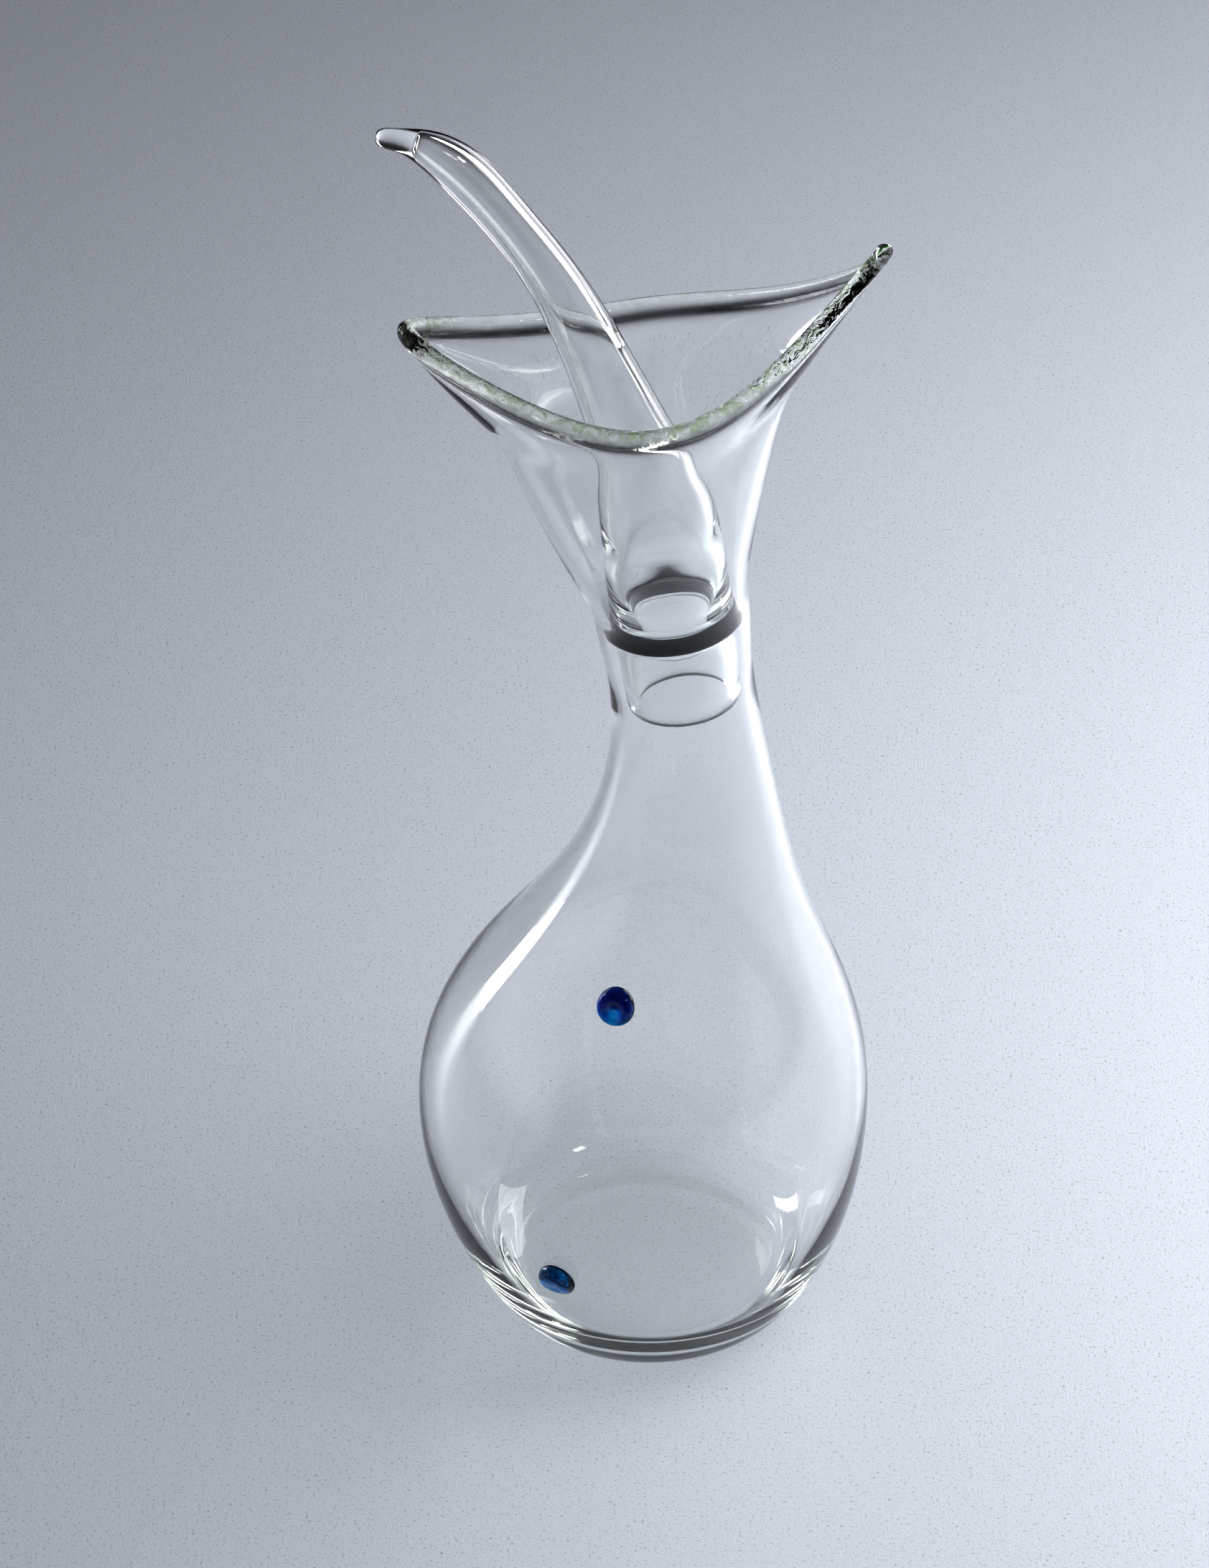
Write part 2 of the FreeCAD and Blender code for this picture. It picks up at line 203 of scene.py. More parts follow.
def blow(name, rings, lip_share):
    """Grow one closed wall through all the rings and smooth it."""
    bpy.ops.object.select_all(action="DESELECT")
    bpy.ops.mesh.primitive_circle_add(vertices=SIDES, radius=MM, fill_type="NOTHING", location=(0, 0, 0))
    piece = bpy.context.object
    piece.name = name
    bpy.ops.object.mode_set(mode="EDIT")
    loop = list(range(SIDES))
    set_ring(piece, loop, rings[0], lip_share[0])
    for ring, share in zip(rings[1:], lip_share[1:]):
        bpy.ops.mesh.extrude_edges_move()
        loop = grown_loop(piece, loop)
        set_ring(piece, loop, ring, share)
    bpy.ops.mesh.select_all(action="DESELECT")
    bpy.ops.mesh.select_non_manifold()
    bpy.ops.mesh.fill_holes(sides=0)
    bpy.ops.mesh.select_all(action="SELECT")
    bpy.ops.mesh.normals_make_consistent(inside=False)
    if bmesh.from_edit_mesh(piece.data).calc_volume(signed=True) < 0:
        bpy.ops.mesh.flip_normals()
    bpy.ops.object.mode_set(mode="OBJECT")
    smooth = piece.modifiers.new("smooth", "SUBSURF")
    smooth.levels = SMOOTHING
    smooth.render_levels = SMOOTHING
    bpy.ops.object.modifier_apply(modifier="smooth")
    bpy.ops.object.shade_smooth()
    return piece


def measure(piece):
    """Print what a finished piece measures."""
    places = np.array([corner.co for corner in piece.data.vertices])
    triangles = sum(len(face.vertices) - 2 for face in piece.data.polygons)
    print(piece.name, "triangles", triangles, "box", places.min(0).round(4), places.max(0).round(4))


print("each quad of a cage becomes", 4 ** SMOOTHING, "quads")

# %% [markdown]
# ## The vessel below the mouth
#
# The foot is flat, the wall swells to its widest ring 63 mm up, then draws in to the neck.
# Rings lie level up to the bend of the neck and turn from there until they are square with the
# bore. The inside follows the outside at the thickness of the wall, which is 2.2 mm in the body
# and thicker in the base, where the glass was cooled on a flat plate.

# %% Rings of the body and neck
# The shoulder is shares of the climb to the waist, and of the way in from the body's radius.
# The foot is shares of the body's height, and of the way out from the foot's radius.
shoulder_shape = [(0.14, 0.97), (0.28, 0.785), (0.41, 0.525), (0.54, 0.31), (0.68, 0.155), (0.84, 0.04)]
foot_shape = [(0.0, 0.0), (0.0, 0.07), (0.008, 0.16), (0.07, 0.33), (0.19, 0.51), (0.38, 0.735)]
foot_swell = body_radius - foot_radius
neck_draw = body_radius - neck_radius
climb = waist_height - body_height
widest_cage = body_radius * 1.012    # smoothing draws the widest ring in by about this share
box_margin = 0.02                    # keeps the widest ring inside the CAD model's box
point_share = 0.01                   # the ring that closes in the middle of the foot and floor


def middle_at(height):
    """The middle of the vessel at a height, and the direction its rings are square to."""
    if height >= straight_from:
        return bore_point(height), axis
    share = max(0.0, (height - sway_height) / (straight_from - sway_height))
    turned = share * share * (3 - 2 * share)
    x = float(np.interp(height, vessel_line[:, 1], vessel_line[:, 0]))
    return Vector((x, 0, height)), (axis * turned + UP * (1 - turned)).normalized()


def vessel_ring(height, radius):
    """A round ring of the vessel at a height."""
    middle, direction = middle_at(height)
    return round_ring(middle, direction, radius)


def outside_low():
    """Up the outside, from the middle of the foot to the bore."""
    rings = [vessel_ring(0.0, foot_radius * share) for share in (point_share, 0.4, 0.75)]
    rings += [vessel_ring(body_height * up, foot_radius + foot_swell * out) for up, out in foot_shape]
    rings.append(vessel_ring(body_height * 0.68, foot_radius + foot_swell * 0.955))
    rings.append(vessel_ring(body_height, widest_cage - box_margin))
    for up, out in shoulder_shape:
        rings.append(vessel_ring(body_height + climb * up, neck_radius + neck_draw * out))
    rings.append(vessel_ring(waist_height, neck_radius - 0.1))
    rings.append(vessel_ring((waist_height + ring_height) / 2, (neck_radius + bore_outside) / 2 - 0.2))
    rings.append(vessel_ring(ring_height, bore_outside))
    return rings


def inside_low():
    """Down the inside, from the bore to the middle of the floor."""
    bore_shares = (0.5, 0.25, 0.0, -0.25, -0.5)
    rings = [vessel_ring(ring_height + bore_length * share, bore_radius) for share in bore_shares]
    rings.append(vessel_ring((waist_height + ring_height - bore_length) / 2, bore_radius - 0.5))
    rings.append(vessel_ring(waist_height - 6.0, neck_radius - neck_wall))
    for up, out in reversed(shoulder_shape):
        rings.append(vessel_ring(body_height + climb * up, neck_radius + neck_draw * out - body_wall))
    rings.append(vessel_ring(body_height, widest_cage - body_wall))
    for up, out, thicker in ((0.68, 0.94, 1.0), (0.37, 0.70, 1.3), (0.20, 0.50, 1.6)):
        rings.append(vessel_ring(body_height * up, foot_radius + foot_swell * out - body_wall * thicker))
    rings.append(vessel_ring(base_thickness + 1.8, foot_radius + foot_swell * 0.10))
    rings += [vessel_ring(base_thickness, foot_radius * share) for share in (0.86, 0.5, 0.2, point_share)]
    return rings


print("cage rings below the mouth", len(outside_low()), "outside,", len(inside_low()), "inside")

# %% [markdown]
# ## The mouth
#
# While it was hot the rim was opened wide to two pouring tips, one higher than the other, and
# the front and back were left low, so the lip is a saddle. It is written here as a round bore
# that opens, is drawn out towards the tips and is lifted there. The rim was then melted in the
# flame, which leaves a rounded bead thicker than the wall.

# %% Shape of the flare
mouth_half_length = 61.47
mouth_half_depth = 32.8
flare_length = mouth_rise - bore_length / 2
flare_ease = 0.05            # how softly the bore turns into the flare
flare_slope = 0.61           # share of the opening that is a straight cone, the rest is the curl
curl_start = 0.66
flare_wall = 2.6
lip_thickness = 5.0
bead_cage = 1.06             # smoothing draws a bead of few rings in by about this share
tip_draw = 0.04              # how far the tips are drawn to points
pinch_least, pinch_more = 0.10, 0.18    # the front and back are pinched more towards the tall tip
tall_tip_lift, low_tip_lift = 27.3, 19.5
mouth_shift = 4.0            # the lip stands this far towards the tall tip
flare_lag = 1.4              # and the middle of the flare this far the other way
LAG_SCALE = 6.75             # makes rise * (1 - rise) ** 2 reach 1 at its highest


def flare_point(rise, angle):
    """A point of the flare's outer face: rise is 0 at the bore and 1 at the lip."""
    cone = (math.hypot(rise, flare_ease) - flare_ease) / (math.hypot(1.0, flare_ease) - flare_ease)
    curl = max(0.0, (rise - curl_start) / (1 - curl_start))
    opening = flare_slope * cone + (1 - flare_slope) * curl * curl * (3 - 2 * curl)
    half_length = bore_outside + (mouth_half_length - bore_outside) * opening
    half_depth = bore_outside + (mouth_half_depth - bore_outside) * cone
    draw = tip_draw * rise ** 2
    pinch = (pinch_least + pinch_more * (1 + math.cos(angle)) / 2) * rise ** 2
    along = half_length * (math.cos(angle) + draw * math.cos(3 * angle)) / (1 + draw)
    aside = half_depth * (math.sin(angle) - pinch * math.sin(3 * angle)) / (1 + pinch)
    shift = mouth_shift * rise ** 5 - flare_lag * LAG_SCALE * rise * (1 - rise) ** 2
    lift = tall_tip_lift * max(0.0, math.cos(angle)) ** 2.4 + low_tip_lift * max(0.0, -math.cos(angle)) ** 2.2
    height = flare_length * rise + lift * rise ** 1.5
    return bore_point(flare_start) + axis * height + across * (along + shift) + BACK * aside


def flare_frame(rise, angle):
    """Outward and upward directions of the flare's outer face."""
    step = 0.001
    low = max(0.0, rise - step)
    upward = (flare_point(low + step, angle) - flare_point(low, angle)).normalized()
    round_way = flare_point(rise, angle + step) - flare_point(rise, angle - step)
    return round_way.cross(upward).normalized(), upward


def flare_ring(rise, depth):
    """A ring at a rise, this deep under the outer face."""
    return [flare_point(rise, a) - flare_frame(rise, a)[0] * depth for a in angles]


def lip_ring(turn):
    """A ring of the rounded bead: -90 is its outside, 0 its top and 90 its inside."""
    half = lip_thickness / 2
    reach = half * bead_cage
    ring = []
    for a in angles:
        outward, upward = flare_frame(1.0, a)
        middle = flare_point(1.0, a) - outward * half
        t = math.radians(turn)
        ring.append(middle - outward * (reach * math.sin(t)) + upward * (reach * math.cos(t)))
    return ring


print("the tall tip stands", round(flare_point(1.0, 0.0).z, 1), "mm up, the low one",
      round(flare_point(1.0, math.pi).z, 1))

# %% Grow the vessel
flare_steps = [0.0, 0.12, 0.25, 0.40, 0.55, 0.70, 0.82]
below_bead = [(0.90, 0.9), (0.95, 1.45)]       # rise and depth of the rings just outside the bead
inside_bead = [(0.95, 3.6), (0.90, 3.15)]      # and of those just inside it
bead = {-115: 0.0, -75: 0.3, -40: 0.9, 0: 1.0, 40: 1.0, 75: 0.8, 115: 0.3}    # turn, share of the lip

rings = outside_low()
rings += [flare_ring(rise, 0.0) for rise in flare_steps]
rings += [flare_ring(rise, depth) for rise, depth in below_bead]
lip_share = [0.0] * len(rings) + list(bead.values())
rings += [lip_ring(turn) for turn in bead]
rings += [flare_ring(rise, depth) for rise, depth in inside_bead]
for rise in reversed(flare_steps[1:]):
    rings.append(flare_ring(rise, flare_wall if rise > 0.2 else (flare_wall + bore_wall) / 2))
rings += inside_low()
lip_share += [0.0] * (len(rings) - len(lip_share))
vessel = blow("vessel_glass", rings, lip_share)
measure(vessel)

# %% [markdown]
# ## The stopper
#
# One tube again: its tip is a solid beak, its hollow starts below the beak, and it is open at
# the bottom of the plug. Between the shoulder and the plug there is a shallow groove for the
# rubber ring. The cage runs down the outside from the tip, round the rim of the plug and up
# the hollow.

# %% The horn's middle line
horn_reach = 71.6
horn_rise = 138.0
plug_length = 25.9
plug_radius = 14.6
plug_wall = 3.0
shoulder_radius = 15.8
groove_radius = 13.3
groove_half = 2.1
groove_round = 0.9
shoulder_top = groove_half + 26.0
horn_wall = 2.3
horn_radius = 6.1
beak_radius = 2.35

# Shares of the horn's reach and rise, from the rubber ring to the tip.
horn_stations = [(0.156, 0.40), (0.262, 0.545), (0.395, 0.70), (0.62, 0.874),
                 (0.742, 0.95), (0.87, 0.988), (1, 1)]
horn_points = [flat(ring_middle + axis * along) for along in
               (-plug_length, -plug_length / 2, 0, shoulder_top / 2, shoulder_top)]
for out, up in horn_stations:
    horn_points.append((ring_middle.x - horn_reach * out, ring_middle.z + horn_rise * up))
horn_line, horn_run = smooth_line(horn_points)
horn_tip = horn_run[-1] - plug_length
print("stopper is", round(horn_run[-1], 1), "mm along its middle line")


def stopper_ring(distance, radius):
    """A round ring of the stopper, square to its middle line, so far above the rubber ring."""
    if distance <= shoulder_top * 0.9:
        return round_ring(ring_middle + axis * distance, axis, radius)
    place = distance + plug_length
    below, middle, above = (
        Vector((np.interp(place + step, horn_run, horn_line[:, 0]), 0,
                np.interp(place + step, horn_run, horn_line[:, 1]))) for step in (-0.3, 0.0, 0.3))
    return round_ring(middle, (above - below).normalized(), radius)


def horn_distance(share):
    """Distance from the rubber ring at a share of the way from the shoulder to the tip."""
    return shoulder_top + (horn_tip - shoulder_top) * share


# %% Down the outside of the stopper
# The horn is shares of its length, and of the taper from the shoulder's radius to its own.
horn_shape = [(0.0, 0.887), (0.09, 0.72), (0.145, 0.55), (0.20, 0.40), (0.27, 0.32), (0.36, 0.21),
              (0.45, 0.14), (0.56, 0.05), (0.66, -0.01), (0.75, -0.01), (0.835, 0.03)]
taper = shoulder_radius - horn_radius
point_radius = 0.3           # the ring that closes at the tip and at the end of the hollow
groove_edge = groove_half + groove_round
groove_floor = groove_half + 0.3
plug_low = 4.0 - plug_length

outside = [
    (horn_tip - 0.1, point_radius), (horn_tip - 0.1, beak_radius * 0.7),
    (horn_tip - beak_radius * 0.8, beak_radius * 1.12), (horn_distance(0.95), beak_radius * 1.2),
    (horn_distance(0.905), horn_radius * 0.8),
]
outside += [(horn_distance(share), horn_radius + taper * out) for share, out in reversed(horn_shape)]
outside += [
    (shoulder_top * 0.72, shoulder_radius - taper * 0.09), (shoulder_top * 0.45, shoulder_radius - 0.2),
    (groove_half + 4.2, shoulder_radius + 0.2), (groove_half + 2.0, shoulder_radius + 0.3),
    (groove_edge, shoulder_radius - 0.8),
]
outside += [(along, groove_radius) for along in (groove_edge, groove_floor, 0.0, -groove_floor, -groove_edge)]
outside += [
    (-groove_edge, plug_radius - 0.2), (-groove_half - 3.0, plug_radius + 0.1),
    (-plug_length * 0.55, plug_radius), (plug_low, plug_radius - 0.1),
]
print("cage rings down the outside", len(outside))

# %% Round the rim, up the hollow, and grow the stopper
rim = plug_wall / 2
rim_reach = rim * bead_cage
round_rim = [(rim - plug_length - rim_reach * math.sin(math.radians(turn)),
              plug_radius - rim + rim_reach * math.cos(math.radians(turn))) for turn in (0, 45, 90, 135, 180)]
hollow_end = horn_distance(0.93)
hollow = [
    (plug_low, plug_radius - plug_wall), (-plug_length * 0.4, plug_radius - plug_wall),
    (groove_half * 0.5, groove_radius - plug_wall * 0.8), (groove_half + 5.0, shoulder_radius - plug_wall),
    (shoulder_top * 0.55, shoulder_radius - plug_wall),
    (shoulder_top * 0.78, shoulder_radius - taper * 0.12 - plug_wall),
]
hollow += [(horn_distance(share), horn_radius + taper * out - horn_wall) for share, out in horn_shape]
hollow += [
    (hollow_end - 2.5, (horn_radius - horn_wall) * 0.75), (hollow_end, (horn_radius - horn_wall) * 0.5),
    (hollow_end, point_radius),
]
rings = [stopper_ring(distance, radius) for distance, radius in outside + round_rim + hollow]
stopper = blow("stopper_glass", rings, [0.0] * len(rings))
measure(stopper)

# %% [markdown]
# ## The rubber ring
#
# A moulded rubber band sits in the groove and seals against the bore. Its outer corners are
# rounded, and a fine moulding line runs round the middle of its outer face. It could start as
# a torus, but its section isn't a circle, so the section is drawn once and spun about the bore's
# axis. The upper half of the section is written out and the lower half is its mirror image.
# Spin closes on itself, so the doubles are merged and the normals recalculated.

# %% Section of the ring
ring_clearance = 0.05
ring_thickness = 3.6
ring_width = 3.9
ring_outer = bore_radius - ring_clearance
ring_inner = bore_radius - ring_clearance - ring_thickness
inner_corner = 0.3
face_sink = 0.02             # the outer face lies this far inside the CAD ring
line_rise = 0.04             # the moulding line stands this far out of it
half = ring_width / 2
upper_half = [
    (ring_inner, half - inner_corner), (ring_inner + inner_corner, half), (ring_outer - 1.9, half),
    (ring_outer - 1.1, half - 0.12), (ring_outer - 0.45, half - 0.5), (ring_outer - 0.12, half - 1.0),
    (ring_outer - face_sink, 0.35), (ring_outer - face_sink, 0.14),
]
lower_half = [(out, -up) for out, up in reversed(upper_half)]
section = [(ring_inner, 0.0), *upper_half, (ring_outer + line_rise, 0.0), *lower_half]
print("the section has", len(section), "corners")

# %% Spin the ring
bpy.ops.object.select_all(action="DESELECT")
bpy.ops.mesh.primitive_circle_add(vertices=len(section), radius=MM, fill_type="NOTHING", location=(0, 0, 0))
seal = bpy.context.object
seal.name = "rubber_ring"
bpy.ops.object.mode_set(mode="EDIT")
sketch = bmesh.from_edit_mesh(seal.data)
sketch.verts.ensure_lookup_table()
for corner, (out, up) in zip(sketch.verts, section):
    corner.co = (ring_middle + across * out + axis * up) * MM
bmesh.update_edit_mesh(seal.data)
bpy.ops.mesh.spin(steps=96, angle=2 * math.pi, center=ring_middle * MM, axis=axis)
bpy.ops.mesh.select_all(action="SELECT")
bpy.ops.mesh.remove_doubles(threshold=0.00001)
bpy.ops.mesh.normals_make_consistent(inside=False)
bpy.ops.object.mode_set(mode="OBJECT")
bpy.ops.object.shade_smooth()
measure(seal)

# %% [markdown]
# ## The blue drops
#
# Each drop was a bead of hot cobalt glass pressed on the wall, where it slumped to a low dome.
# A sphere is squashed along the wall's own direction, widened slightly downhill as hot glass
# runs, and its back is sunk a little in the wall, because the two were melted together.
# The dome is then pressed in with a soft dimple on its downhill side, deeper in the upper drop.
# The glass is thin in the dimple and thick above it, which gives a pale spot under a dark
# crescent. The CAD drops are plain domes: the dimple takes glass away and adds none.

# %% Press on a drop
drop_radius = 5.1
drop_height = 3.5
sunk_share = 0.12            # how much of the back half of the sphere is kept, in the wall
dimple_x, dimple_y = 0.02, 0.36    # sideways and downhill, as shares of the drop's radius
dimple_spread = 0.26
thinnest = 0.25              # glass left under the dimple
rim_band = 0.25              # the dome isn't pressed in below this share of its height


def press_drop(name, node, run, dimple):
    """A slumped dome on the vessel's outer face, at the CAD drop's place, with a dimple of this depth."""
    low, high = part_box(node)
    middle = (Vector(low) + Vector(high)) / 2
    line_x = float(np.interp(middle.z / MM, vessel_line[:, 1], vessel_line[:, 0])) * MM
    found, place, normal, _ = vessel.closest_point_on_mesh(middle)
    if not found or normal.dot(middle - Vector((line_x, 0, middle.z))) < 0:
        raise RuntimeError("no wall behind " + name)
    radius = drop_radius * MM
    bpy.ops.object.select_all(action="DESELECT")
    bpy.ops.mesh.primitive_uv_sphere_add(segments=48, ring_count=32, radius=radius, location=(0, 0, 0))
    piece = bpy.context.object
    piece.name = name
    downhill = (UP - normal * UP.dot(normal)).normalized() * -1
    sideways = downhill.cross(normal)
    turn = Matrix((sideways, downhill, normal)).transposed()
    for corner in piece.data.vertices:
        x, y, z = corner.co / radius
        out = drop_height * MM * (z if z > 0 else z * sunk_share)
        slump = 1.0 + run * y
        hollow = dimple * MM * math.exp(-((x - dimple_x) ** 2 + (y - dimple_y) ** 2) / dimple_spread)
        out = max(thinnest * MM, out - hollow) if z > rim_band else out
        corner.co = place + turn @ Vector((x * radius * slump, y * radius, out))
    bpy.ops.object.shade_smooth()
    measure(piece)
    return piece


upper_drop = press_drop("drop_upper", "upper_drop", 0.05, 3.3)
lower_drop = press_drop("drop_lower", "lower_drop", 0.08, 1.4)

# %% [markdown]
# ## Finishes
#
# A finish is a tree of nodes, and most nodes only need a kind and a few values. Setting each
# value by hand takes a line, so one small function adds a node with all of its values. A node's
# own settings come first, because a Mix node has other sockets when it mixes colours.

# %% Nodes and materials


def add_node(nodes, kind, sockets=None, **settings):
    """A node of this kind, with its settings made first and its sockets filled after them."""
    node = nodes.new("ShaderNode" + kind)
    for setting, value in settings.items():
        setattr(node, setting, value)
    for label, value in (sockets or {}).items():
        node.inputs[label].default_value = value
    return node


def new_material(name):
    """An empty node material: itself, its nodes, its link function and its output."""
    material = bpy.data.materials.new(name)
    material.use_nodes = True
    material.node_tree.nodes.clear()
    output = add_node(material.node_tree.nodes, "OutputMaterial")
    print("finish", name)
    return material, material.node_tree.nodes, material.node_tree.links.new, output


# %% [markdown]
# ## The waviness of blown glass
#
# Hand-blown glass is never quite even, so a faint waviness bends what is seen through it. It is
# a node group, because the clear and the blue glass both have it. Two noises are added, a broad
# one and one four times as fine. A texture image could do this too, but it would show its
# edges where it repeats on a round body.

# %% A node group for the waviness
waves = bpy.data.node_groups.new("blown_waves", "ShaderNodeTree")
for label, value in (("Size", 60.0), ("Fine", 0.2)):
    socket = waves.interface.new_socket(label, in_out="INPUT", socket_type="NodeSocketFloat")
    socket.default_value = value
waves.interface.new_socket("Height", in_out="OUTPUT", socket_type="NodeSocketFloat")
given, made = waves.nodes.new("NodeGroupInput"), waves.nodes.new("NodeGroupOutput")
where = add_node(waves.nodes, "TexCoord")
broad = add_node(waves.nodes, "TexNoise", {"Detail": 1.0})
fine = add_node(waves.nodes, "TexNoise", {"Detail": 2.0, "Distortion": 1.2})
closer = add_node(waves.nodes, "Math", {1: 4.0}, operation="MULTIPLY")
both = add_node(waves.nodes, "Math", operation="MULTIPLY_ADD")
link = waves.links.new
link(where.outputs["Object"], broad.inputs["Vector"])
link(where.outputs["Object"], fine.inputs["Vector"])
link(given.outputs["Size"], broad.inputs["Scale"])
link(given.outputs["Size"], closer.inputs[0])
link(closer.outputs[0], fine.inputs["Scale"])
link(fine.outputs["Fac"], both.inputs[0])
link(given.outputs["Fine"], both.inputs[1])
link(broad.outputs["Fac"], both.inputs[2])
link(both.outputs[0], made.inputs["Height"])


def add_waves(nodes, link, size, fine_share, depth):
    """A Bump node fed by the waviness group."""
    group = add_node(nodes, "Group", node_tree=waves)
    group.inputs["Size"].default_value = size
    group.inputs["Fine"].default_value = fine_share
    bump = add_node(nodes, "Bump", {"Strength": 1.0, "Distance": depth})
    link(group.outputs["Height"], bump.inputs["Height"])
    return bump


print("waviness group with", len(waves.nodes), "nodes")

# %% [markdown]
# ## Clear glass
#
# Clear soda-lime glass is colourless through a thin wall and green where light runs a long way
# in it, as in the melted bead of the lip. The green there is broken into streaks, so a noise
# decides where it shows and how the bead swells, and the "lip" number keeps both to the rim.
# A lamp's shadow rays can't bend, so real glass would cast a black shadow in the render. The
# Light Path node lets those rays through, dimmed more where the wall is seen edge on. That
# part isn't true to real glass, but bending every shadow ray would be slow and full of noise.

# %% Let a lamp's light pass


def let_lamps_through(nodes, link, glass, output, tint, edge):
    """Glass for every ray but a lamp's shadow ray, which passes, dimmed at the wall's edges."""
    clear = add_node(nodes, "BsdfTransparent")
    facing = add_node(nodes, "LayerWeight", {"Blend": 0.25})
    dim = add_node(nodes, "Mix", {"A": tint, "B": edge}, data_type="RGBA")
    path = add_node(nodes, "LightPath")
    mix = add_node(nodes, "MixShader")
    link(facing.outputs["Facing"], dim.inputs["Factor"])
    link(dim.outputs["Result"], clear.inputs["Color"])
    link(path.outputs["Is Shadow Ray"], mix.inputs["Fac"])
    link(glass.outputs["BSDF"], mix.inputs[1])
    link(clear.outputs["BSDF"], mix.inputs[2])
    link(mix.outputs["Shader"], output.inputs["Surface"])


# %% Clear glass, green at the lip
NEARLY_WHITE, LIP_GREEN = (0.995, 0.997, 0.996, 1), (0.42, 0.52, 0.28, 1)
clear_glass, nodes, link, output = new_material("clear_glass")
glass = add_node(nodes, "BsdfPrincipled", {"Roughness": 0.0, "IOR": 1.5, "Transmission Weight": 1.0})
lip = add_node(nodes, "Attribute", attribute_name="lip")
where = add_node(nodes, "TexCoord")
streaks = add_node(nodes, "TexNoise", {"Scale": 300.0, "Detail": 3.0, "Distortion": 1.5})
spread = add_node(nodes, "MapRange", {"From Min": 0.40, "From Max": 0.60, "To Min": 0.20})
amount = add_node(nodes, "Math", operation="MULTIPLY")
tint = add_node(nodes, "Mix", {"A": NEARLY_WHITE, "B": LIP_GREEN}, data_type="RGBA")
link(where.outputs["Object"], streaks.inputs["Vector"])
link(streaks.outputs["Fac"], spread.inputs["Value"])
link(lip.outputs["Fac"], amount.inputs[0])
link(spread.outputs["Result"], amount.inputs[1])
link(amount.outputs[0], tint.inputs["Factor"])
link(tint.outputs["Result"], glass.inputs["Base Color"])

# %% The glass's uneven surface, its shadow and its depth
body_waves = add_waves(nodes, link, 45.0, 0.02, 0.00003)
lip_height = add_node(nodes, "Math", operation="MULTIPLY")
lip_bump = add_node(nodes, "Bump", {"Distance": 0.0008})
link(streaks.outputs["Fac"], lip_height.inputs[0])
link(lip.outputs["Fac"], lip_height.inputs[1])
link(lip_height.outputs[0], lip_bump.inputs["Height"])
link(body_waves.outputs["Normal"], lip_bump.inputs["Normal"])
link(lip_bump.outputs["Normal"], glass.inputs["Normal"])
let_lamps_through(nodes, link, glass, output, (0.993, 0.994, 0.995, 1), (0.90, 0.905, 0.91, 1))
depth = add_node(nodes, "VolumeAbsorption", {"Color": (0.80, 0.91, 0.77, 1), "Density": 6.0})
link(depth.outputs["Volume"], output.inputs["Volume"])
print("clear glass has", len(nodes), "nodes")

# %% [markdown]
# ## Cobalt glass
#
# A trace of cobalt swallows red light over a few millimetres, so the blue deepens with the
# thickness of the drop. Volume Absorption does that, where a flat blue would look like paint.
# The upper drop is much deeper than the lower one, so the same glass is made in two depths.
# The drops do without the clear glass's trick for lamps, so that the export keeps their volume.

# %% Cobalt glass in two depths
BLUE, PALE_BLUE = (0.06, 0.62, 0.90, 1), (0.14, 0.72, 0.94, 1)


def blue_glass(name, density):
    """Cobalt glass; the density says how fast light dies out on its way through."""
    material, nodes, link, output = new_material(name)
    glass = add_node(nodes, "BsdfPrincipled", {"Roughness": 0.0, "IOR": 1.52, "Transmission Weight": 1.0})
    where = add_node(nodes, "TexCoord")
    clouds = add_node(nodes, "TexNoise", {"Scale": 260.0})
    blue = add_node(nodes, "Mix", {"A": BLUE, "B": PALE_BLUE}, data_type="RGBA")
    link(where.outputs["Object"], clouds.inputs["Vector"])
    link(clouds.outputs["Fac"], blue.inputs["Factor"])
    link(blue.outputs["Result"], glass.inputs["Base Color"])
    drop_waves = add_waves(nodes, link, 330.0, 0.1, 0.0005)
    link(drop_waves.outputs["Normal"], glass.inputs["Normal"])
    deep = add_node(nodes, "VolumeAbsorption", {"Color": (0.0, 0.54, 0.80, 1), "Density": density})
    link(glass.outputs["BSDF"], output.inputs["Surface"])
    link(deep.outputs["Volume"], output.inputs["Volume"])
    return material


dark_cobalt = blue_glass("cobalt_glass_dark", 3000.0)
cobalt = blue_glass("cobalt_glass", 850.0)

# %% [markdown]
# ## Black rubber
#
# The ring is moulded rubber: nearly black, with a dull sheen that a broad noise makes uneven,
# and a grain too fine to model, which is a bump. A single black would look like a hole.

# %% Black rubber
BLACK, WORN_BLACK = (0.002, 0.0023, 0.0026, 1), (0.006, 0.0065, 0.007, 1)
rubber, nodes, link, output = new_material("black_rubber")
skin = add_node(nodes, "BsdfPrincipled", {"Specular IOR Level": 0.06})
where = add_node(nodes, "TexCoord")
grain = add_node(nodes, "TexNoise", {"Scale": 1800.0, "Detail": 4.0})
bloom = add_node(nodes, "TexNoise", {"Scale": 130.0})
black = add_node(nodes, "Mix", {"A": BLACK, "B": WORN_BLACK}, data_type="RGBA")
dull = add_node(nodes, "MapRange", {"To Min": 0.38, "To Max": 0.62})
press = add_node(nodes, "Bump", {"Distance": 0.00006})
link(where.outputs["Object"], grain.inputs["Vector"])
link(where.outputs["Object"], bloom.inputs["Vector"])
link(bloom.outputs["Fac"], black.inputs["Factor"])
link(black.outputs["Result"], skin.inputs["Base Color"])
link(bloom.outputs["Fac"], dull.inputs["Value"])
link(dull.outputs["Result"], skin.inputs["Roughness"])
link(grain.outputs["Fac"], press.inputs["Height"])
